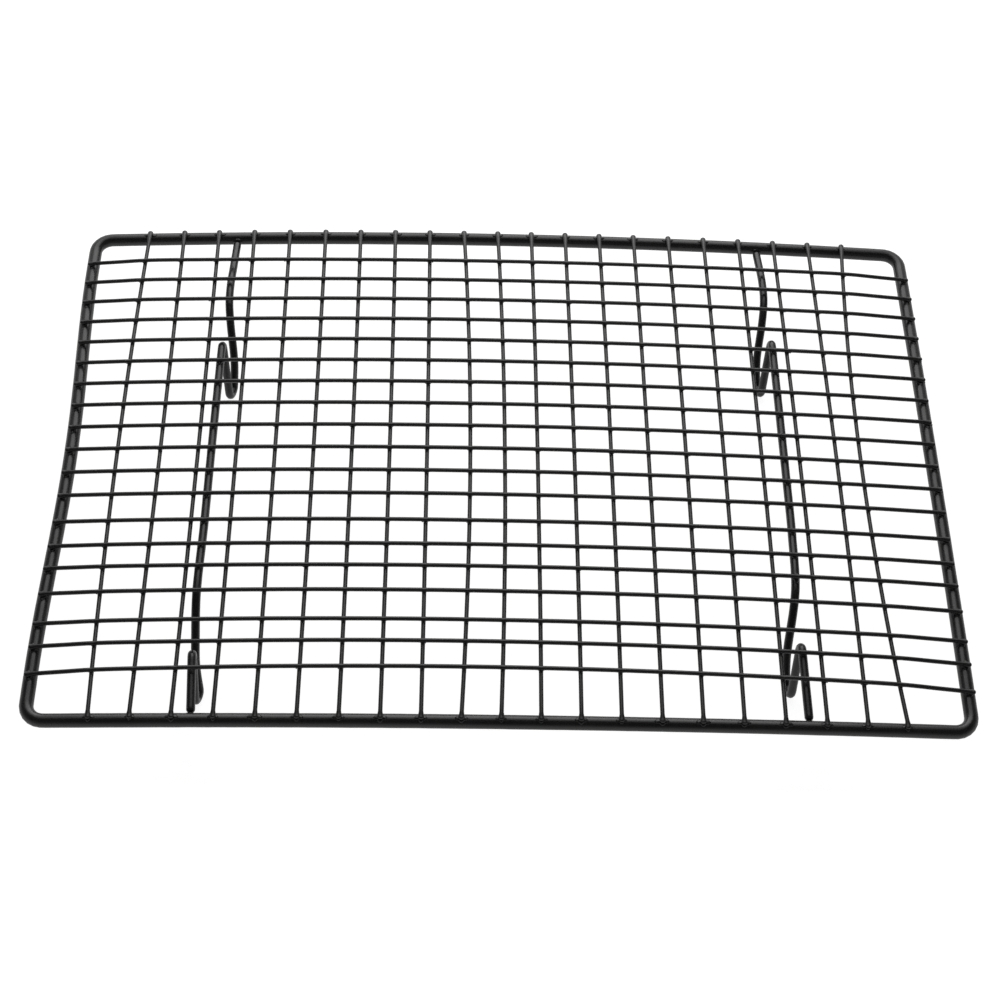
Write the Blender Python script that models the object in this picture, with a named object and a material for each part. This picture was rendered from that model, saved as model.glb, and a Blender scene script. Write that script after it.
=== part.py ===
"""A welded wire cooling rack for a bakery or a kitchen.

A thick wire is bent into a rectangular rim. Thin cross wires lie over its long rails, thin long wires
lie over the cross wires, and two bent leg wires hang under the grid and stand on four feet. All of it
is spot welded and coated black, so nothing on it moves.

Metres, +Z up. The origin is on the table under the rack's centre, X runs along the long side and Y from
the front rail to the back rail.
"""

import math
from collections import namedtuple

import bpy
from mathutils import Vector

# Driving dimensions of the whole rack.
RACK_LENGTH = 0.4206
RACK_WIDTH = 0.2886
FOOT_DROP = 0.020  # from the rim's centreline at its corners down to a foot's centreline

# Wire diameters over the coating.
RIM_WIRE = 0.0064
MESH_WIRE = 0.0020
LEG_WIRE = 0.0040

# The rim.
RIM_CORNER_RADIUS = 0.0080
FRONT_RAIL_CROWN = 0.0044
BACK_RAIL_CROWN = 0.0066
SIDE_RAIL_CROWN = 0.0022
LEFT_RAIL_DENT = 0.0034
LEFT_RAIL_DENT_LENGTH = 0.250

# The grid, which is centred a little to the left of the rim.
GRID_SHIFT_X = -0.0011
GRID_CROWN = 0.0035
CROSS_WIRES = 21
CROSS_PITCH = 0.01772
LONG_WIRES = 19
LONG_PITCH = 0.01333
CROSS_TIP_OVERHANG = 0.0015  # past the centrelines of the long rails
LONG_END_OVERHANG = 0.0021  # past the centrelines of the side rails

# How far the cross wires stray from a straight, even grid. The bent ones go by their numbers.
CROSS_WANDER = 0.0009
CROSS_WANDER_PERIOD = 13.0
CROSS_WANDER_START = 4.8
CROSS_BOW = 0.0006
BENT_CROSS_WIRES = {1: -0.0020, 10: 0.0035, 11: 0.0025, 21: -0.0055}
CROSS_LEAN = 0.0008  # the front ends of the middle wires lie this far to the right
CROSS_LEAN_REACH = 5.5  # wires to each side of the middle one
CROSS_MIDDLE = 11.5

# How far the long wires stray.
FORWARD_LONG_WIRES = {13: 0.0015, 14: 0.0015, 17: 0.0020}  # welded on out of line
BACK_LONG_WIRE_BOW = -0.0011
FRONT_LONG_WIRE_BOW = 0.0036
BACK_LONG_LEAN = 0.00026
FRONT_LONG_LEAN = 0.0013
END_JITTER = 0.0004

# Leg wires, measured outwards from the grid's centre line and along Y.
LEG_RUN_X = 0.1357
LEG_REAR_END_X = 0.1336
LEFT_LEG_FRONT_END_X = 0.1342
RIGHT_LEG_FRONT_END_X = 0.1356
FOOT_BACK_RADIUS = 0.0030
FOOT_FRONT_RADIUS = 0.0022
RETURN_TOP_RADIUS = 0.0026
FOOT_BACK_REACH = 0.0036  # the foot's corners, before they are rounded, from its middle
FOOT_FRONT_REACH = 0.0030
FOOT_TWIST = 0.0008  # the foot's corners, inwards and outwards from its middle
FOOT_SLOPE_LENGTH = 0.0370  # from the start of the slope down to the foot
FOOT_RETURN = 0.0105  # how far the return strand leans back
SLOPE_TOP_RADIUS = 0.030
SLOPE_MIDDLE_RADIUS = 0.050
SLOPE_MIDDLE_Y = 0.0125  # behind the foot's middle
SLOPE_MIDDLE_RISE = 0.0095
RUN_RADIUS = 0.5
PAD_FLATTENING = 0.00012  # the coating under a foot is pressed flat by this much
LEG_END_DROP = 0.0036

# A foot: where its middle is, and how far inwards its slope's middle and both its tops lie.
Foot = namedtuple("Foot", "outward y slope_inset slope_top_inset return_top_inset")
LEFT_REAR_FOOT = Foot(0.1324, 0.0577, 0.0012, 0.0007, 0.0)
LEFT_FRONT_FOOT = Foot(0.1349, -0.1175, -0.0012, -0.0006, 0.0)
RIGHT_REAR_FOOT = Foot(0.1324, 0.0649, 0.0015, 0.0007, 0.0)
RIGHT_FRONT_FOOT = Foot(0.1322, -0.1100, 0.0014, 0.0007, 0.0009)

# Neighbouring wires keep this gap, which the weld metal fills.
WELD_GAP = 0.0003

# Sides of the wires' sections, and how finely the paths are divided.
RIM_SIDES = 12
MESH_SIDES = 8
LEG_SIDES = 12
RIM_CORNER_STEPS = 6
LONG_RAIL_STEPS = 14
SIDE_RAIL_STEPS = 12
GRID_WIRE_STEPS = 10
LEG_RUN_STEPS = 4
LEG_BEND_STEP = math.radians(24)
SHARP_EDGE = math.radians(50)

# Shade and roughness of the coating.
RIM_COATING = (0.028, 0.34)
CROSS_COATING = (0.026, 0.36)
LONG_COATING = (0.024, 0.36)
LEG_COATING = (0.026, 0.34)

RIM_RADIUS = RIM_WIRE / 2
MESH_RADIUS = MESH_WIRE / 2
LEG_RADIUS = LEG_WIRE / 2
RIM_HEIGHT = FOOT_DROP + LEG_RADIUS - PAD_FLATTENING
SIDE_RAIL_X = RACK_LENGTH / 2 - RIM_RADIUS
LONG_RAIL_Y = RACK_WIDTH / 2 - RIM_RADIUS

# Heights of the layers' centrelines above the crowned sheet through the rim's centreline.
CROSS_RISE = RIM_RADIUS + WELD_GAP + MESH_RADIUS
LONG_RISE = CROSS_RISE + MESH_WIRE + WELD_GAP
LEG_RISE = LONG_RISE - MESH_RADIUS - WELD_GAP - LEG_RADIUS


def clear_scene():
    for obj in list(bpy.data.objects):
        bpy.data.objects.remove(obj, do_unlink=True)


def coated_steel(name, shade, roughness):
    """Black non-stick coating on steel wire."""
    material = bpy.data.materials.new(name)
    material.use_nodes = True
    shader = material.node_tree.nodes["Principled BSDF"]
    shader.inputs["Base Color"].default_value = (shade, shade, shade * 1.04, 1.0)
    shader.inputs["Roughness"].default_value = roughness
    shader.inputs["Metallic"].default_value = 0.0
    material.diffuse_color = (shade, shade, shade * 1.04, 1.0)
    return material


def bulge(position, half_span):
    """1 in the middle of a span and 0 at its ends, along a parabola."""
    return 1.0 - (position / half_span) ** 2


def rim_height(x, y):
    """The rim's centreline height: both long rails rise towards their middles."""
    to_back = (y + LONG_RAIL_Y) / (2 * LONG_RAIL_Y)
    crown = FRONT_RAIL_CROWN + (BACK_RAIL_CROWN - FRONT_RAIL_CROWN) * to_back
    return RIM_HEIGHT + crown * bulge(x, RACK_LENGTH / 2)


def side_rail_crown(y):
    """How much higher a side rail is than its corners."""
    return SIDE_RAIL_CROWN * max(0.0, bulge(y, LONG_RAIL_Y - RIM_CORNER_RADIUS))


def sheet_height(x, y):
    """The rim's height carried across the rack, with the grid's own crown on top of it."""
    dome = GRID_CROWN * bulge(x, RACK_LENGTH / 2) * bulge(y, RACK_WIDTH / 2)
    return rim_height(x, y) + dome


def left_rail_x(y):
    """The left rail has been knocked inwards near the middle."""
    reach = LEFT_RAIL_DENT_LENGTH / 2
    if abs(y) >= reach:
        return -SIDE_RAIL_X
    return -SIDE_RAIL_X + LEFT_RAIL_DENT * math.cos(math.pi * y / (2 * reach)) ** 2


def evenly(start, end, steps):
    return [start + (end - start) * i / steps for i in range(steps + 1)]


def rounded(corners, radii):
    """A path through straight runs, with an arc of the given radius at each inner corner."""
    path = [corners[0]]
    for before, corner, after, radius in zip(corners, corners[1:], corners[2:], radii):
        to_before = (before - corner).normalized()
        to_after = (after - corner).normalized()
        half_angle = to_before.angle(to_after) / 2
        setback = radius / math.tan(half_angle)
        centre = corner + (to_before + to_after).normalized() * (radius / math.sin(half_angle))
        first = corner + to_before * setback - centre
        last = corner + to_after * setback - centre
        turn = math.pi - 2 * half_angle
        steps = max(2, math.ceil(turn / LEG_BEND_STEP))
        for angle in evenly(0.0, turn, steps):
            share_last = math.sin(angle) / math.sin(turn)
            share_first = math.sin(turn - angle) / math.sin(turn)
            path.append(centre + first * share_first + last * share_last)
    path.append(corners[-1])
    return path


def ring_offsets(radius, sides, facet_down):
    """Corners of a polygon around a wire. facet_down turns it so that one flat side faces down."""
    turn = math.pi / sides if facet_down else 0.0
    angles = [turn + 2 * math.pi * i / sides for i in range(sides)]
    return [(radius * math.cos(a), radius * math.sin(a)) for a in angles]


def swept_wire(name, path, diameter, sides, across, material, closed=False, facet_down=False):
    """A wire of round section along a path, pressed flat where it meets the table at height 0.

    across is the direction that one axis of the section keeps to.
    """
    offsets = ring_offsets(diameter / 2, sides, facet_down)
    vertices = []
    count = len(path)
    for i, point in enumerate(path):
        after = path[(i + 1) % count] if closed or i + 1 < count else point
        before = path[i - 1] if closed or i > 0 else point
        along = ((after - point).normalized() + (point - before).normalized()).normalized()
        level = (across - along * across.dot(along)).normalized()
        upright = along.cross(level)
        vertices += [point + level * u + upright * v for u, v in offsets]
    for vertex in vertices:
        vertex.z = max(vertex.z, 0.0)
    faces = []
    for i in range(count if closed else count - 1):
        here = i * sides
        there = ((i + 1) % count) * sides
        for j in range(sides):
            k = (j + 1) % sides
            faces.append((here + j, here + k, there + k, there + j))
    if not closed:
        faces.append(tuple(reversed(range(sides))))
        faces.append(tuple(range((count - 1) * sides, count * sides)))
    mesh = bpy.data.meshes.new(name)
    mesh.from_pydata(vertices, [], faces)
    mesh.validate()
    mesh.shade_smooth()
    mesh.set_sharp_from_angle(angle=SHARP_EDGE)
    mesh.materials.append(material)
    obj = bpy.data.objects.new(name, mesh)
    bpy.context.collection.objects.link(obj)
    return obj


def corner_arc(x, y, start_angle):
    """The rim's centreline round one corner, whose arc is centred at x, y."""
    angles = evenly(start_angle, start_angle + math.pi / 2, RIM_CORNER_STEPS)
    return [
        (x + RIM_CORNER_RADIUS * math.cos(a), y + RIM_CORNER_RADIUS * math.sin(a)) for a in angles
    ]


def build_rim():
    """One thick wire bent round four corners and butt welded into a loop."""
    inner_x = SIDE_RAIL_X - RIM_CORNER_RADIUS
    inner_y = LONG_RAIL_Y - RIM_CORNER_RADIUS
    rail_x = evenly(-inner_x, inner_x, LONG_RAIL_STEPS)[1:-1]
    side_y = evenly(-inner_y, inner_y, SIDE_RAIL_STEPS)[1:-1]
    outline = corner_arc(inner_x, -inner_y, -math.pi / 2)
    outline += [(SIDE_RAIL_X, y) for y in side_y]
    outline += corner_arc(inner_x, inner_y, 0.0)
    outline += [(x, LONG_RAIL_Y) for x in reversed(rail_x)]
    outline += corner_arc(-inner_x, inner_y, math.pi / 2)
    outline += [(left_rail_x(y), y) for y in reversed(side_y)]
    outline += corner_arc(-inner_x, -inner_y, math.pi)
    outline += [(x, -LONG_RAIL_Y) for x in rail_x]
    path = [Vector((x, y, rim_height(x, y) + side_rail_crown(y))) for x, y in outline]
    material = coated_steel("rim_coating", *RIM_COATING)
    swept_wire("rim_frame", path, RIM_WIRE, RIM_SIDES, Vector((0, 0, 1)), material, closed=True)


def jitter(number):
    """A repeatable value from -1 to 1 for a numbered wire."""
    return math.sin(12.9898 * number)


def cross_wire_x(number):
    """Where a cross wire meets the rails. Wires are numbered from 1 at the left."""
    steps = number - (CROSS_WIRES + 1) / 2
    wander = CROSS_WANDER * math.sin(2 * math.pi * (number - CROSS_WANDER_START) / CROSS_WANDER_PERIOD)
    return GRID_SHIFT_X + CROSS_PITCH * steps + wander


def build_cross_wires():
    """Thin wires from the front rail to the back rail, lying on both."""
    tip = LONG_RAIL_Y + CROSS_TIP_OVERHANG
    for number in range(1, CROSS_WIRES + 1):
        x = cross_wire_x(number)
        bow = BENT_CROSS_WIRES.get(number, CROSS_BOW)
        lean = CROSS_LEAN * max(0.0, bulge(number - CROSS_MIDDLE, CROSS_LEAN_REACH))
        slant = END_JITTER * jitter(number) + lean
        path = []
        for y in evenly(-tip, tip, GRID_WIRE_STEPS):
            across = x + bow * bulge(y, tip) - slant * y / tip
            path.append(Vector((across, y, sheet_height(across, y) + CROSS_RISE)))
        name = f"cross_wire_{number:02d}"
        material = coated_steel(f"{name}_coating", *CROSS_COATING)
        swept_wire(name, path, MESH_WIRE, MESH_SIDES, Vector((1, 0, 0)), material)


def build_long_wires():
    """Thin wires over the cross wires, whose ends come down onto the side rails."""
    first_cross = cross_wire_x(1)
    last_cross = cross_wire_x(CROSS_WIRES)
    for number in range(1, LONG_WIRES + 1):
        to_front = (number - 1) / (LONG_WIRES - 1)
        middle_y = LONG_PITCH * ((LONG_WIRES + 1) / 2 - number) - FORWARD_LONG_WIRES.get(number, 0.0)
        bow = BACK_LONG_WIRE_BOW + (FRONT_LONG_WIRE_BOW - BACK_LONG_WIRE_BOW) * to_front**4
        lean = BACK_LONG_LEAN + (FRONT_LONG_LEAN - BACK_LONG_LEAN) * to_front
        left = left_rail_x(middle_y) - LONG_END_OVERHANG
        right = SIDE_RAIL_X + LONG_END_OVERHANG + END_JITTER * jitter(number)
        stations = [left, -SIDE_RAIL_X + 2 * RIM_RADIUS, *evenly(first_cross, last_cross, GRID_WIRE_STEPS)]
        stations += [SIDE_RAIL_X - 2 * RIM_RADIUS, right]
        path = []
        for x in stations:
            y = middle_y + bow * (bulge(x, SIDE_RAIL_X) - 0.5) - lean * x / SIDE_RAIL_X
            past_grid = max(first_cross - x, x - last_cross, 0.0)
            step_down = LONG_RISE - CROSS_RISE - side_rail_crown(y)
            drop = step_down * min(1.0, past_grid / (SIDE_RAIL_X - last_cross))
            path.append(Vector((x, y, sheet_height(x, y) + LONG_RISE - drop)))
        name = f"long_wire_{number:02d}"
        material = coated_steel(f"{name}_coating", *LONG_COATING)
        swept_wire(name, path, MESH_WIRE, MESH_SIDES, Vector((0, 1, 0)), material)


def leg_top(side, outward, y):
    """A point of a leg wire that lies against the undersides of the long wires."""
    x = GRID_SHIFT_X + side * outward
    return Vector((x, y, sheet_height(x, y) + LEG_RISE))


def foot_corners(side, foot):
    """The corners of one foot, from the top of its slope to the top of the strand that returns."""
    foot_x = GRID_SHIFT_X + side * foot.outward
    foot_z = RIM_HEIGHT - FOOT_DROP
    slope_top = leg_top(side, LEG_RUN_X - foot.slope_top_inset, foot.y + FOOT_SLOPE_LENGTH)
    slope_middle_x = foot_x - side * foot.slope_inset
    slope_middle = Vector((slope_middle_x, foot.y + SLOPE_MIDDLE_Y, foot_z + SLOPE_MIDDLE_RISE))
    foot_back = Vector((foot_x - side * FOOT_TWIST, foot.y + FOOT_BACK_REACH, foot_z))
    foot_front = Vector((foot_x + side * FOOT_TWIST, foot.y - FOOT_FRONT_REACH, foot_z))
    return_top = leg_top(side, LEG_RUN_X - foot.return_top_inset, foot.y + FOOT_RETURN)
    return [slope_top, slope_middle, foot_back, foot_front, return_top]


def build_leg(name, side, rear, front, front_end_x):
    """One bent wire: rail end, slope, foot, return, run, slope, foot, return, rail end."""
    end_y = LONG_RAIL_Y - RIM_RADIUS - WELD_GAP
    rear_end = leg_top(side, LEG_REAR_END_X, end_y) - Vector((0, 0, LEG_END_DROP))
    front_end = leg_top(side, front_end_x, -end_y) - Vector((0, 0, LEG_END_DROP))
    rear_foot, front_foot = foot_corners(side, rear), foot_corners(side, front)
    run_start = rear_foot[-1].y
    run_end = front_foot[0].y
    run_middle = [leg_top(side, LEG_RUN_X, y) for y in evenly(run_start, run_end, LEG_RUN_STEPS)[1:-1]]
    corners = [rear_end, *rear_foot, *run_middle, *front_foot, front_end]
    foot_radii = [SLOPE_TOP_RADIUS, SLOPE_MIDDLE_RADIUS, FOOT_BACK_RADIUS, FOOT_FRONT_RADIUS]
    foot_radii.append(RETURN_TOP_RADIUS)
    radii = foot_radii + [RUN_RADIUS] * len(run_middle) + foot_radii
    path = rounded(corners, radii)
    material = coated_steel(f"{name}_coating", *LEG_COATING)
    swept_wire(name, path, LEG_WIRE, LEG_SIDES, Vector((1, 0, 0)), material, facet_down=True)


clear_scene()
build_rim()
build_cross_wires()
build_long_wires()
build_leg("left_leg_wire", -1, LEFT_REAR_FOOT, LEFT_FRONT_FOOT, LEFT_LEG_FRONT_END_X)
build_leg("right_leg_wire", 1, RIGHT_REAR_FOOT, RIGHT_FRONT_FOOT, RIGHT_LEG_FRONT_END_X)
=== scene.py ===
"""The finished look of the welded wire cooling rack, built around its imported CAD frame.

Every wire is rebuilt along the centreline of its own CAD node: round, finely meshed, with rounded ends,
and pressed slightly into the wires it is welded to. Weld metal fills the joints, and everything wears
a satin black coating. Metres, in the row's frame.
"""

import math
import random

import bpy
from mathutils import Matrix, Vector, noise
from mathutils.kdtree import KDTree


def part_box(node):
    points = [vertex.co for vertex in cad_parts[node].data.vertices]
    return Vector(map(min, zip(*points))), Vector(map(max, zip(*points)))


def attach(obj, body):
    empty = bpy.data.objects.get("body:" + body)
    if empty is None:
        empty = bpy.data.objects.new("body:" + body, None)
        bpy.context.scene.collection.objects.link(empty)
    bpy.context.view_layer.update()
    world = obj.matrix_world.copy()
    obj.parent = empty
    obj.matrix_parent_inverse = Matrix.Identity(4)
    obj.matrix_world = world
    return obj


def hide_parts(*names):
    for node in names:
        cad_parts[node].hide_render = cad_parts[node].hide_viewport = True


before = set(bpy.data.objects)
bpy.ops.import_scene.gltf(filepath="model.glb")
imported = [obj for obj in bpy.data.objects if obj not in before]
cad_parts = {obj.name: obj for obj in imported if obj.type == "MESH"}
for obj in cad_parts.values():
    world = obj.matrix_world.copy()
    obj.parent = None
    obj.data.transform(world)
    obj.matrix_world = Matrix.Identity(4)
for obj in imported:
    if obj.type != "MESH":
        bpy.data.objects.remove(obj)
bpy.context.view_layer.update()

random.seed(20)

UP = Vector((0, 0, 1))
RIGHT = Vector((1, 0, 0))
BACK = Vector((0, 1, 0))
TABLE = 0.0

CROSS_NODES = sorted(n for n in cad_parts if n.startswith("cross_wire"))
LONG_NODES = sorted(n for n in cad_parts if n.startswith("long_wire"))
LEG_NODES = ("left_leg_wire", "right_leg_wire")

# How a centreline is read from the CAD, and the smooth curve through it.
CORNER_DIGITS = 7  # decimals of a metre
RING_REACH = 1.2  # times the wire's thickness, from one corner of a ring to its others
CURVE_STEP = 0.0010
CURVE_OVERSAMPLING = 2
LONG_SPAN = 2.5  # times its neighbour's length

# The wires' thickness, the sides of their finished sections, and the longest step along a wire.
RIM_WIRE, RIM_SIDES, RIM_STEP = 0.0064, 32, 0.0022
MESH_WIRE, MESH_SIDES, MESH_STEP = 0.0020, 12, 0.0036
LEG_WIRE, LEG_SIDES, LEG_STEP = 0.0040, 22, 0.0010
SHORTEST_STEP = 0.00045

# A wire's rounded tip: its length in radii, and the turns at which it has a ring.
TIP_ROUNDNESS = 0.8
TIP_TURNS = (80, 60, 40, 20)

# As-made unevenness of the wires and their coating.
COATING_SWELL = 0.012  # share of the radius
COATING_SWELL_SIZE = 0.006
WIRE_WOBBLE = 0.00006
WIRE_WOBBLE_SIZE = 0.045
WAVE_SEEDS = (0, 99)
WAVE_SHIFT = (1, 0.37, 1.7)  # times the seed

# The long wires settle onto the cross wires as they are welded.
LONG_SETTLE = 0.00024

# How a weld presses a wire: how far towards the other wire, how much wider, over how long a stretch.
CROSS_IN_GRID = (0.00007, 0.05, 0.0024)
LONG_IN_GRID = (0.00010, 0.07, 0.0024)
CROSS_ON_RAIL = (0.00026, 0.42, 0.0026)
LONG_ON_RAIL = (0.00018, 0.38, 0.0026)
LONG_ON_LEG = (0.00010, 0.06, 0.0024)
LEG_UNDER_LONG = (0.00010, 0.02, 0.0030)
UNPRESSED = (0.0, 0.0, 0.0010)
THINNING = 0.2  # share of the widening by which a pressed wire gets thinner
PRESS_STATIONS = (-1.0, -0.6, -0.3, 0.0, 0.3, 0.6, 1.0)  # shares of that stretch

# Shapes of weld metal: reach under the upper wire, reach along the lower one, reach between them, height.
GRID_WELD = (0.00155, 0.00165, 0.00115, 0.00075)
RAIL_WELD = (0.00200, 0.00290, 0.00150, 0.00045)
LEG_WELD = (0.00155, 0.00240, 0.00150, 0.00080)
LEG_END_WELD = (0.00225, 0.00215, 0.00215, 0.00050)
WELD_SIZES = (0.86, 1.16)
TIP_SIZES = (0.88, 1.14)
WELD_SEGMENTS = 16
WELD_POINTEDNESS = 1.5
WELD_SHARES = ((1.0, 0.0), (0.78, 0.34), (0.45, 0.82))  # of its reach and height, from the edge inwards
WELD_EDGE_DIVE = 0.00012

# Where welds are: how often two wires' closest points are sought in turn, how near a long wire passes to
# a leg that it is welded to, and by how many centreline points two such places differ.
MEETING_ROUNDS = 4
LEG_TOUCH_GAP = 0.0005
RUN_GAP = 4

# Beads of coating or spatter beside some welds.
NIB_CHANCE = 0.16
NIB_SIZES = (0.00018, 0.00034)
NIB_SIDES = 8
NIB_LEVELS = (-0.7, 0.0, 0.7)  # in radii of the bead
NIB_ALONG = (0.7, 1.6)  # in radii of the upper wire, as are the next two
NIB_ASIDE = 0.95
NIB_RISE = 0.5

# The coating. Each noise has a scale and a detail.
COATING_IOR = 1.48
COATING_DARK = (0.0130, 0.0130, 0.0134)
COATING_PALE = (0.0190, 0.0187, 0.0184)
PATCH_NOISE, PATCH_RANGE = (60, 4), (0.35, 0.7)
GRAIN_NOISE, GRAIN_OFFSET = (420, 3), 3.0
PEEL_NOISE, PEEL_OFFSET = (1500, 2), 5.0
PEEL_STRENGTH = 0.35
PEEL_DEPTH = 0.00006
NOISE_MIDDLE = (0.3, 0.7)
OFFSET_SHIFT = (1, 0.7, 1.3)  # times the offset

# Roughness of each coating where it is glossiest and dullest, and the offset of its noise.
RIM_FINISH = (0.22, 0.32, 0.0)
CROSS_FINISH = (0.22, 0.34, 11.0)
LONG_FINISH = (0.22, 0.34, 23.0)
LEG_FINISH = (0.22, 0.32, 37.0)

# The table top. White is what the camera sees, and bounce is the light that it throws.
FLOOR_HALF = 6.0
FLOOR_WHITE = 0.91
FLOOR_BOUNCE = 0.58
FLOOR_ROUGHNESS = 0.8
FLOOR_NOISE = (9, 3)
FLOOR_DARK = (0.30, 0.30, 0.30)
FLOOR_PALE = (0.32, 0.32, 0.32)
WHITE = (1, 1, 1, 1)

# The room's light, and what the camera sees of it.
ROOM_SEEN = 1.0
ROOM_HORIZON = 0.45
ROOM_CEILING = 0.05
CEILING_STARTS = 0.6  # sine of the elevation

# Softboxes behind the rack: name, centre, width, height, radiance.
SOFTBOXES = (
    ("softbox_core", Vector((0.0, 0.73, 0.68)), 0.80, 0.95, 1.5),
    ("softbox_halo", Vector((0.0, 0.62, 0.86)), 1.20, 1.40, 0.8),
    ("back_wall", Vector((0.0, 1.30, 0.55)), 2.80, 1.15, 0.55),
)

CAMERA_ELEVATION = 54.23
CAMERA_TURN = 2.82  # how far it looks to the right of straight back
CAMERA_ROLL = 3.20
CAMERA_DISTANCE = 0.9468
CAMERA_AIM = Vector((-0.0002, -0.0195, 0.0219))
CAMERA_LENS = 72.27


def node_points(node):
    """The node's corners without duplicates, and which of them share an edge."""
    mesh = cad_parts[node].data
    index, points, number = {}, [], []
    for vertex in mesh.vertices:
        key = tuple(round(c, CORNER_DIGITS) for c in vertex.co)
        if key not in index:
            index[key] = len(points)
            points.append(vertex.co.copy())
        number.append(index[key])
    near = [set() for _ in points]
    for edge in mesh.edges:
        a, b = number[edge.vertices[0]], number[edge.vertices[1]]
        near[a].add(b)
        near[b].add(a)
    return points, near


def ring_centres(node, start, thickness, loop_towards=None):
    """Centres of the rings of corners along a wire, from the ring at start to the other end.

    A closed wire is followed in the loop_towards direction, once round.
    """
    points, near = node_points(node)
    first = min(points, key=lambda point: (point - start).length)
    ring = {i for i, point in enumerate(points) if (point - first).length < RING_REACH * thickness}
    seen = set(ring)
    centres = []
    while ring:
        centre = sum((points[i] for i in ring), Vector()) / len(ring)
        centres.append(centre)
        following = set().union(*(near[i] for i in ring)) - seen
        if loop_towards and len(centres) == 1:
            following = {i for i in following if (points[i] - centre).dot(loop_towards) > 0}
        seen |= following
        ring = following
    return centres


def with_straights(points, closed):
    """The same points, and one more near each end of a long span that follows or precedes a short one.

    They keep a smooth curve through the points from bulging along a straight stretch.
    """
    count = len(points)
    spans = count if closed else count - 1
    lengths = [(points[(i + 1) % count] - points[i]).length for i in range(spans)]
    more = []
    for i in range(spans):
        here, there = points[i], points[(i + 1) % count]
        more.append(here)
        before = lengths[i - 1] if closed or i else lengths[i]
        after = lengths[(i + 1) % spans] if closed or i < spans - 1 else lengths[i]
        if lengths[i] > LONG_SPAN * before:
            more.append(here.lerp(there, before / lengths[i]))
        if lengths[i] > LONG_SPAN * after:
            more.append(there.lerp(here, after / lengths[i]))
    return more if closed else [*more, points[-1]]


def smooth_curve(points, spacing, closed=False):
    """Evenly spaced points on a centripetal Catmull-Rom curve through the given points."""
    points = with_straights(points, closed)
    count = len(points)
    if closed:
        padded = [points[-1], *points, points[0], points[1]]
    else:
        padded = [points[0] * 2 - points[1], *points, points[-1] * 2 - points[-2]]
    dense = []
    spans = count if closed else count - 1
    for i in range(spans):
        p0, p1, p2, p3 = padded[i : i + 4]
        t1 = (p1 - p0).length ** 0.5
        t2 = t1 + (p2 - p1).length ** 0.5
        t3 = t2 + (p3 - p2).length ** 0.5
        steps = max(2, math.ceil(CURVE_OVERSAMPLING * (p2 - p1).length / spacing))
        for step in range(steps):
            t = t1 + (t2 - t1) * step / steps
            a1 = p0 * ((t1 - t) / t1) + p1 * (t / t1)
            a2 = p1 * ((t2 - t) / (t2 - t1)) + p2 * ((t - t1) / (t2 - t1))
            a3 = p2 * ((t3 - t) / (t3 - t2)) + p3 * ((t - t2) / (t3 - t2))
            b1 = a1 * ((t2 - t) / t2) + a2 * (t / t2)
            b2 = a2 * ((t3 - t) / (t3 - t1)) + a3 * ((t - t1) / (t3 - t1))
            dense.append(b1 * ((t2 - t) / (t2 - t1)) + b2 * ((t - t1) / (t2 - t1)))
    dense.append(points[0].copy() if closed else points[-1].copy())
    return resampled(dense, spacing)


def resampled(points, spacing):
    """The same polyline with its points evenly spread, about spacing apart."""
    reach = [0.0]
    for a, b in zip(points, points[1:]):
        reach.append(reach[-1] + (b - a).length)
    count = max(2, round(reach[-1] / spacing))
    even, i = [], 0
    for step in range(count + 1):
        target = reach[-1] * step / count
        while i < len(points) - 2 and reach[i + 1] < target:
            i += 1
        share = (target - reach[i]) / (reach[i + 1] - reach[i])
        even.append(points[i].lerp(points[i + 1], min(share, 1.0)))
    return even


def wave(point, size, seed):
    """A smooth value from -1 to 1 that changes over about size."""
    return noise.noise(point / size + Vector([share * seed for share in WAVE_SHIFT]))


class Skin:
    """Corners and faces of one piece, collected before its mesh is made."""

    def __init__(self):
        self.corners, self.faces = [], []

    def tube(self, rings, closed=False):
        """Joins rings of equal corner count. Unless it is closed, each end gets a cap."""
        first, sides = len(self.corners), len(rings[0])
        for ring in rings:
            self.corners += ring
        spans = len(rings) if closed else len(rings) - 1
        for i in range(spans):
            here, there = first + i * sides, first + ((i + 1) % len(rings)) * sides
            for j in range(sides):
                k = (j + 1) % sides
                self.faces.append((here + j, here + k, there + k, there + j))
        if not closed:
            last = first + spans * sides
            self.cap(list(range(first, first + sides))[::-1])
            self.cap(list(range(last, last + sides)))

    def cap(self, ring):
        """A fan over a ring of corners."""
        tip = len(self.corners)
        self.corners.append(sum((self.corners[i] for i in ring), Vector()) / len(ring))
        for a, b in zip(ring, ring[1:] + ring[:1]):
            self.faces.append((a, b, tip))

    def piece(self, name, material, slot, replaces=()):
        """Makes the object, which rides on the rack."""
        mesh = bpy.data.meshes.new(name)
        mesh.from_pydata(self.corners, [], self.faces)
        mesh.shade_smooth()
        mesh.materials.append(material)
        obj = bpy.data.objects.new(name, mesh)
        bpy.context.collection.objects.link(obj)
        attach(obj, "root")
        if replaces:
            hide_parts(*replaces)


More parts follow.
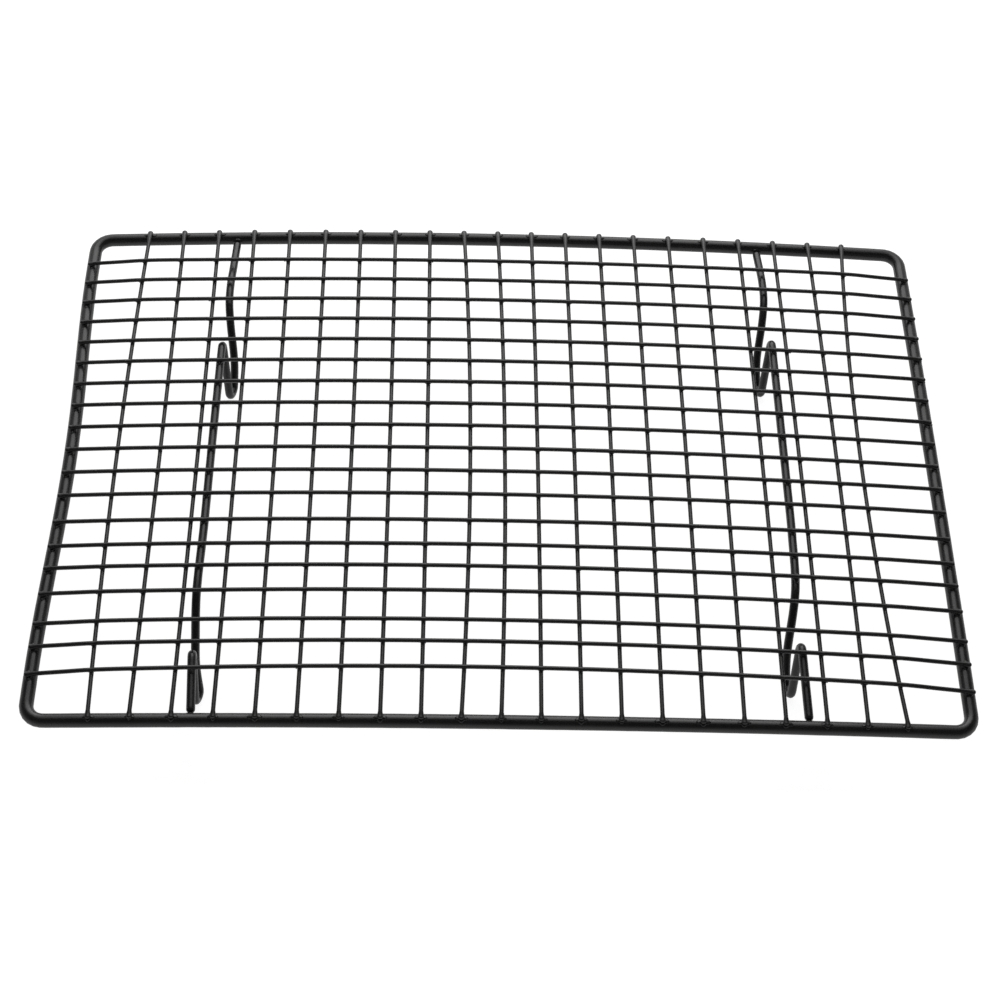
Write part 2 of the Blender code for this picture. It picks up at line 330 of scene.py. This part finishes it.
class Wire:
    """One wire of the rack: the smooth centreline read from its CAD node, and the welds on it."""

    def __init__(self, node, section, level, start, loop_towards=None, settle=0.0):
        thickness, self.sides, self.longest_step = section
        self.node, self.radius, self.level = node, thickness / 2, level
        self.closed = loop_towards is not None
        centres = ring_centres(node, start, thickness, loop_towards)
        self.points = [point - UP * settle for point in smooth_curve(centres, CURVE_STEP, self.closed)]
        if self.closed:
            self.points.pop()
        self.step = (self.points[1] - self.points[0]).length
        self.seed = random.uniform(*WAVE_SEEDS)
        self.welds = []
        self.tree = KDTree(len(self.points))
        for i, point in enumerate(self.points):
            self.tree.insert(point, i)
        self.tree.balance()

    def nearest(self, point):
        """The number of the centreline's point that is nearest."""
        return self.tree.find(point)[1]

    def distance(self, point):
        """How far a place is from the centreline's nearest point."""
        return (self.points[self.nearest(point)] - point).length

    def tangent(self, i):
        """The wire's direction at one of its points."""
        last = len(self.points) - 1
        if self.closed:
            return (self.points[(i + 1) % (last + 1)] - self.points[i - 1]).normalized()
        return (self.points[min(i + 1, last)] - self.points[max(i - 1, 0)]).normalized()

    def press(self, point, towards, how):
        """A weld at this point of the centreline, which moves the wire in one direction."""
        i = self.nearest(point)
        place = i * self.step + (point - self.points[i]).dot(self.tangent(i))
        self.welds.append((place, towards, *how))

    def stations(self):
        """Places along the wire, each with the share of the radius there: less at rounded tips."""
        length = self.step * (len(self.points) if self.closed else len(self.points) - 1)
        tip = 0.0 if self.closed else TIP_ROUNDNESS * self.radius
        wanted = {tip, length - tip}
        for place, *_, reach in self.welds:
            wanted |= {place + share * reach for share in PRESS_STATIONS}
        wanted = sorted(place for place in wanted if tip <= place <= length - tip)
        places = wanted[:1]
        for place in wanted[1:]:
            gap = place - places[-1]
            if gap < SHORTEST_STEP and place < wanted[-1]:
                continue
            count = math.ceil(gap / self.longest_step)
            places += [places[-1] + gap * i / count for i in range(1, count + 1)]
        body = [(place, 1.0) for place in places]
        if self.closed:
            return body[:-1]
        dome = [(tip * (1 - math.sin(a)), math.cos(a)) for a in map(math.radians, TIP_TURNS)]
        return dome + body + [(length - place, share) for place, share in reversed(dome)]

    def ring(self, place, share):
        """The corners of the section at this place along the wire."""
        i = min(int(place / self.step), len(self.points) - (1 if self.closed else 2))
        after = (i + 1) % len(self.points)
        point = self.points[i].lerp(self.points[after], place / self.step - i)
        along = self.tangent(i).lerp(self.tangent(after), place / self.step - i).normalized()
        side = (self.level - along * self.level.dot(along)).normalized()
        rise = along.cross(side)
        swell = 1 + COATING_SWELL * (wave(point, COATING_SWELL_SIZE, self.seed) - 1)
        wide = tall = self.radius * share * swell
        centre = point + side * WIRE_WOBBLE * wave(point, WIRE_WOBBLE_SIZE, self.seed + 1)
        for welded_at, towards, sink, widening, reach in self.welds:
            away = abs(place - welded_at) / reach
            if away < 1:
                pressed = math.cos(away * math.pi / 2) ** 2
                centre = centre + towards * (sink * pressed)
                wide *= 1 + widening * pressed
                tall *= 1 - THINNING * widening * pressed
        corners = []
        for k in range(self.sides):
            turn = 2 * math.pi * k / self.sides
            corner = centre + side * (wide * math.cos(turn)) + rise * (tall * math.sin(turn))
            corner.z = max(corner.z, TABLE)
            corners.append(corner)
        return corners

    def build(self, material, slot):
        """Makes the finished wire, which stands in for its CAD node."""
        skin = Skin()
        skin.tube([self.ring(place, share) for place, share in self.stations()], self.closed)
        skin.piece(f"{self.node}_coated", material, slot, [self.node])


def meet(first, i, second):
    """Where two wires come closest, near point i of the first: a point on each centreline."""
    for _ in range(MEETING_ROUNDS):
        j = second.nearest(first.points[i])
        i = first.nearest(second.points[j])
    p, u = first.points[i], first.tangent(i)
    q, v = second.points[j], second.tangent(j)
    slant = u.dot(v)
    between = q - p
    across = 1 - slant * slant
    along_first = (between.dot(u) - slant * between.dot(v)) / across
    along_second = (slant * between.dot(u) - between.dot(v)) / across
    return p + u * along_first, q + v * along_second


def weld(skin, at, over, up, shape, lower=None, lower_along=None):
    """Weld metal round the point where two wires touch. over is the direction of the upper wire.

    With a lower wire that is thick, the edge of the weld lies on that wire's round surface.
    """
    reach_over, reach_under, waist, height = shape
    over = (over - up * over.dot(up)).normalized()
    under = up.cross(over)
    size = random.uniform(*WELD_SIZES)
    tips = [size * random.uniform(*TIP_SIZES) for _ in range(4)]
    outline = []
    for k in range(WELD_SEGMENTS):
        turn = 2 * math.pi * k / WELD_SEGMENTS
        quarter = round(turn / (math.pi / 2)) % 4
        tip = (reach_under if quarter % 2 else reach_over) * tips[quarter]
        pointed = abs(math.cos(2 * turn)) ** WELD_POINTEDNESS
        reach = waist * size + (tip - waist * size) * pointed
        offset = (over * math.cos(turn) + under * math.sin(turn)) * reach
        upper_share = math.cos(turn) ** 2
        if lower:
            sideways = (offset - lower_along * offset.dot(lower_along)).length
            fall = lower.radius - math.sqrt(max(lower.radius**2 - sideways**2, 0.0))
            edge = -fall * (1 - upper_share / 2) - WELD_EDGE_DIVE * (1 - upper_share)
        else:
            edge = WELD_EDGE_DIVE * math.cos(2 * turn)
        outline.append((offset, edge))
    rings = []
    for side, shares in ((-1, WELD_SHARES[:0:-1]), (1, WELD_SHARES)):
        for share, rise in shares:
            rings.append([at + offset * share + up * (edge + (side * height - edge) * rise)
                          for offset, edge in outline])
    skin.tube(rings)


def nib(skin, at, size):
    """A bead of coating or spatter."""
    rings = []
    for level in NIB_LEVELS:
        width = size * math.sqrt(1 - level**2)
        turns = [2 * math.pi * k / NIB_SIDES for k in range(NIB_SIDES)]
        rings.append([at + Vector((width * math.cos(t), width * math.sin(t), size * level)) for t in turns])
    skin.tube(rings)


def join(skin, upper, lower, near_upper, press_upper, press_lower, shape, hug=False):
    """Welds two wires where they come closest, near the upper wire's point number near_upper."""
    over, under = meet(upper, near_upper, lower)
    up = (over - under).normalized()
    upper.press(over, -up, press_upper)
    if press_lower:
        lower.press(under, up, press_lower)
    top_of_lower = under + up * (lower.radius + (press_lower or UNPRESSED)[0])
    bottom_of_upper = over - up * (upper.radius + press_upper[0])
    at = (top_of_lower + bottom_of_upper) / 2
    direction = upper.tangent(upper.nearest(over))
    if hug:
        weld(skin, at, direction, up, shape, lower, lower.tangent(lower.nearest(under)))
    else:
        weld(skin, at, direction, up, shape)
    if random.random() < NIB_CHANCE:
        beside = up.cross(direction) * random.choice((-1, 1))
        along = direction * random.choice((-1, 1)) * random.uniform(*NIB_ALONG) * upper.radius
        spot = at + beside * upper.radius * NIB_ASIDE + along + up * upper.radius * NIB_RISE
        nib(skin, spot, random.uniform(*NIB_SIZES))


def weld_grid(cross_wires, long_wires):
    """Every long wire is welded to every cross wire under it."""
    skin = Skin()
    for long_wire in long_wires:
        for cross_wire in cross_wires:
            middle = cross_wire.points[len(cross_wire.points) // 2]
            near = Vector((middle.x, long_wire.points[0].y, middle.z))
            join(skin, long_wire, cross_wire, long_wire.nearest(near), LONG_IN_GRID, CROSS_IN_GRID, GRID_WELD)
    return skin


def weld_rails(cross_wires, long_wires, rim):
    """Both ends of every grid wire are welded down onto the rim."""
    skin = Skin()
    for wires, how in ((cross_wires, CROSS_ON_RAIL), (long_wires, LONG_ON_RAIL)):
        for wire in wires:
            for end in (0, len(wire.points) - 1):
                join(skin, wire, rim, end, how, None, RAIL_WELD, hug=True)
    return skin


def weld_legs(legs, long_wires, rim):
    """The legs are welded to the long wires that they touch, and their ends to the rim."""
    skin = Skin()
    for leg in legs:
        for long_wire in long_wires:
            touching = leg.radius + long_wire.radius + LEG_TOUCH_GAP
            close = [i for i, point in enumerate(leg.points) if long_wire.distance(point) < touching]
            for run in runs(close):
                i = min(run, key=lambda i: long_wire.distance(leg.points[i]))
                near_long = long_wire.nearest(leg.points[i])
                join(skin, long_wire, leg, near_long, LONG_ON_LEG, LEG_UNDER_LONG, LEG_WELD, hug=True)
        for end in (leg.points[0], leg.points[-1]):
            i = rim.nearest(end)
            rail, along = rim.points[i], rim.tangent(i)
            out = end - rail
            out = (out - along * out.dot(along)).normalized()
            foot = end - out * ((end - rail).dot(out) - rim.radius)
            weld(skin, foot, along, out, LEG_END_WELD, rim, along)
    return skin


def runs(numbers):
    """Splits rising numbers into lists whose neighbours differ by less than RUN_GAP."""
    groups = []
    for number in numbers:
        if groups and number - groups[-1][-1] < RUN_GAP:
            groups[-1].append(number)
        else:
            groups.append([number])
    return groups


def shader(name):
    """A new material with its node tree, and that tree's Principled BSDF."""
    material = bpy.data.materials.new(name)
    material.use_nodes = True
    return material, material.node_tree, material.node_tree.nodes["Principled BSDF"]


def noise_texture(tree, where, scale, detail, offset=0.0):
    """Noise in the object's own coordinates."""
    shift = tree.nodes.new("ShaderNodeVectorMath")
    shift.operation = "ADD"
    shift.inputs[1].default_value = [share * offset for share in OFFSET_SHIFT]
    texture = tree.nodes.new("ShaderNodeTexNoise")
    texture.inputs["Scale"].default_value = scale
    texture.inputs["Detail"].default_value = detail
    tree.links.new(where, shift.inputs[0])
    tree.links.new(shift.outputs[0], texture.inputs["Vector"])
    return texture.outputs["Fac"]


def ramp(tree, value, low, high, low_colour, high_colour):
    """Colours from low_colour to high_colour as value goes from low to high."""
    node = tree.nodes.new("ShaderNodeValToRGB")
    node.color_ramp.elements[0].position = low
    node.color_ramp.elements[1].position = high
    node.color_ramp.elements[0].color = (*low_colour, 1)
    node.color_ramp.elements[1].color = (*high_colour, 1)
    tree.links.new(value, node.inputs["Fac"])
    return node.outputs["Color"]


def spread(tree, value, low, high):
    """Maps the middle of a noise's range to low and high."""
    node = tree.nodes.new("ShaderNodeMapRange")
    node.inputs["From Min"].default_value = NOISE_MIDDLE[0]
    node.inputs["From Max"].default_value = NOISE_MIDDLE[1]
    node.inputs["To Min"].default_value = low
    node.inputs["To Max"].default_value = high
    tree.links.new(value, node.inputs["Value"])
    return node.outputs["Result"]


def seen_or_cast(tree, seen, cast):
    """One strength for what is looked at directly, and another for the light that it throws."""
    looked_at = tree.nodes.new("ShaderNodeLightPath").outputs["Is Camera Ray"]
    strength = tree.nodes.new("ShaderNodeMapRange")
    strength.inputs["To Min"].default_value = cast
    strength.inputs["To Max"].default_value = seen
    tree.links.new(looked_at, strength.inputs["Value"])
    return strength.outputs["Result"]


def satin_black(name, glossiest, dullest, offset):
    """Baked-on black coating: faint patches of tone, a roughness with a fine grain, and orange peel."""
    material, tree, surface = shader(name)
    where = tree.nodes.new("ShaderNodeTexCoord").outputs["Object"]
    surface.inputs["IOR"].default_value = COATING_IOR
    patches = noise_texture(tree, where, *PATCH_NOISE, offset)
    colour = ramp(tree, patches, *PATCH_RANGE, COATING_DARK, COATING_PALE)
    tree.links.new(colour, surface.inputs["Base Color"])
    grain = noise_texture(tree, where, *GRAIN_NOISE, offset + GRAIN_OFFSET)
    tree.links.new(spread(tree, grain, glossiest, dullest), surface.inputs["Roughness"])
    peel = noise_texture(tree, where, *PEEL_NOISE, offset + PEEL_OFFSET)
    bump = tree.nodes.new("ShaderNodeBump")
    bump.inputs["Strength"].default_value = PEEL_STRENGTH
    bump.inputs["Distance"].default_value = PEEL_DEPTH
    tree.links.new(peel, bump.inputs["Height"])
    tree.links.new(bump.outputs["Normal"], surface.inputs["Normal"])
    return material


def build_rack():
    """All the wires and welds, in the record's four coatings."""
    rim_low, rim_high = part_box("rim_frame")
    front_rail = Vector((0, rim_low.y, (rim_low.z + rim_high.z) / 2))
    rim = Wire("rim_frame", (RIM_WIRE, RIM_SIDES, RIM_STEP), UP, front_rail, loop_towards=RIGHT)
    mesh_section = (MESH_WIRE, MESH_SIDES, MESH_STEP)
    cross_wires, long_wires, legs = [], [], []
    for node in CROSS_NODES:
        cross_wires.append(Wire(node, mesh_section, RIGHT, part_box(node)[0]))
    for node in LONG_NODES:
        long_wires.append(Wire(node, mesh_section, BACK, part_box(node)[0], settle=LONG_SETTLE))
    for node in LEG_NODES:
        low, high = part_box(node)
        end = Vector(((low.x + high.x) / 2, low.y, high.z))
        legs.append(Wire(node, (LEG_WIRE, LEG_SIDES, LEG_STEP), RIGHT, end))

    grid_welds = weld_grid(cross_wires, long_wires)
    rim_welds = weld_rails(cross_wires, long_wires, rim)
    leg_welds = weld_legs(legs, long_wires, rim)

    rim_coating = satin_black("rim_coating", *RIM_FINISH)
    cross_coating = satin_black("cross_wire_coating", *CROSS_FINISH)
    long_coating = satin_black("long_wire_coating", *LONG_FINISH)
    leg_coating = satin_black("leg_coating", *LEG_FINISH)
    rim.build(rim_coating, "rim_coating")
    for wire in cross_wires:
        wire.build(cross_coating, "cross_wire_coating")
    for wire in long_wires:
        wire.build(long_coating, "long_wire_coating")
    for wire in legs:
        wire.build(leg_coating, "leg_coating")
    grid_welds.piece("grid_welds", cross_coating, "cross_wire_coating")
    rim_welds.piece("rim_welds", rim_coating, "rim_coating")
    leg_welds.piece("leg_welds", leg_coating, "leg_coating")


def build_floor():
    """A white table top, lit enough to look white, which throws less light back onto the rack."""
    material, tree, surface = shader("white_table")
    where = tree.nodes.new("ShaderNodeTexCoord").outputs["Object"]
    mottle = noise_texture(tree, where, *FLOOR_NOISE)
    colour = ramp(tree, mottle, *NOISE_MIDDLE, FLOOR_DARK, FLOOR_PALE)
    tree.links.new(colour, surface.inputs["Base Color"])
    surface.inputs["Roughness"].default_value = FLOOR_ROUGHNESS
    surface.inputs["Emission Color"].default_value = WHITE
    tree.links.new(seen_or_cast(tree, FLOOR_WHITE, FLOOR_BOUNCE), surface.inputs["Emission Strength"])
    mesh = bpy.data.meshes.new("table_top")
    corners = [(x * FLOOR_HALF, y * FLOOR_HALF, TABLE) for x, y in ((-1, -1), (1, -1), (1, 1), (-1, 1))]
    mesh.from_pydata(corners, [], [(0, 1, 2, 3)])
    mesh.materials.append(material)
    floor = bpy.data.objects.new("table_top", mesh)
    bpy.context.collection.objects.link(floor)


def axes(x, y, z, origin):
    """The matrix of a thing with these axes and origin."""
    matrix = Matrix((x, y, z)).transposed().to_4x4()
    matrix.translation = origin
    return matrix


def softbox(name, centre, width, height, radiance):
    """A soft rectangular light that faces the rack."""
    light = bpy.data.lights.new(name, "AREA")
    light.shape = "RECTANGLE"
    light.size, light.size_y = width, height
    light.energy = radiance * math.pi * width * height
    lamp = bpy.data.objects.new(name, light)
    away = (centre - CAMERA_AIM).normalized()
    across = UP.cross(away).normalized()
    lamp.matrix_world = axes(across, away.cross(across), away, centre)
    lamp.visible_camera = False
    bpy.context.collection.objects.link(lamp)


def build_lights():
    """Softboxes behind the rack, brightest in the middle, in a dim room that is lighter low down."""
    for box in SOFTBOXES:
        softbox(*box)
    world = bpy.data.worlds.new("pale_room")
    bpy.context.scene.world = world
    world.use_nodes = True
    tree = world.node_tree
    room = tree.nodes["Background"]
    room.inputs["Color"].default_value = WHITE
    direction = tree.nodes.new("ShaderNodeTexCoord").outputs["Generated"]
    split = tree.nodes.new("ShaderNodeSeparateXYZ")
    tree.links.new(direction, split.inputs[0])
    fade = tree.nodes.new("ShaderNodeMapRange")
    fade.inputs["From Max"].default_value = CEILING_STARTS
    fade.inputs["To Min"].default_value = ROOM_HORIZON
    fade.inputs["To Max"].default_value = ROOM_CEILING
    tree.links.new(split.outputs["Z"], fade.inputs["Value"])
    tree.links.new(fade.outputs["Result"], room.inputs["Strength"])
    backdrop = tree.nodes.new("ShaderNodeBackground")
    backdrop.inputs["Strength"].default_value = ROOM_SEEN
    looked_at = tree.nodes.new("ShaderNodeLightPath").outputs["Is Camera Ray"]
    mix = tree.nodes.new("ShaderNodeMixShader")
    tree.links.new(looked_at, mix.inputs["Fac"])
    tree.links.new(room.outputs[0], mix.inputs[1])
    tree.links.new(backdrop.outputs[0], mix.inputs[2])
    tree.links.new(mix.outputs[0], tree.nodes["World Output"].inputs["Surface"])
    bpy.context.scene.view_settings.view_transform = "Standard"


def build_camera():
    """Looks down on the rack from the front, a little rolled."""
    elevation, turn, roll = map(math.radians, (CAMERA_ELEVATION, CAMERA_TURN, CAMERA_ROLL))
    flat = math.cos(elevation)
    ahead = Vector((math.sin(turn) * flat, math.cos(turn) * flat, -math.sin(elevation)))
    level = Vector((math.cos(turn), -math.sin(turn), 0))
    right = level * math.cos(roll) + level.cross(ahead) * math.sin(roll)
    camera_data = bpy.data.cameras.new("camera")
    camera_data.lens = CAMERA_LENS
    camera = bpy.data.objects.new("camera", camera_data)
    camera.matrix_world = axes(right, right.cross(ahead), -ahead, CAMERA_AIM - ahead * CAMERA_DISTANCE)
    bpy.context.collection.objects.link(camera)
    bpy.context.scene.camera = camera


build_rack()
build_floor()
build_lights()
build_camera()
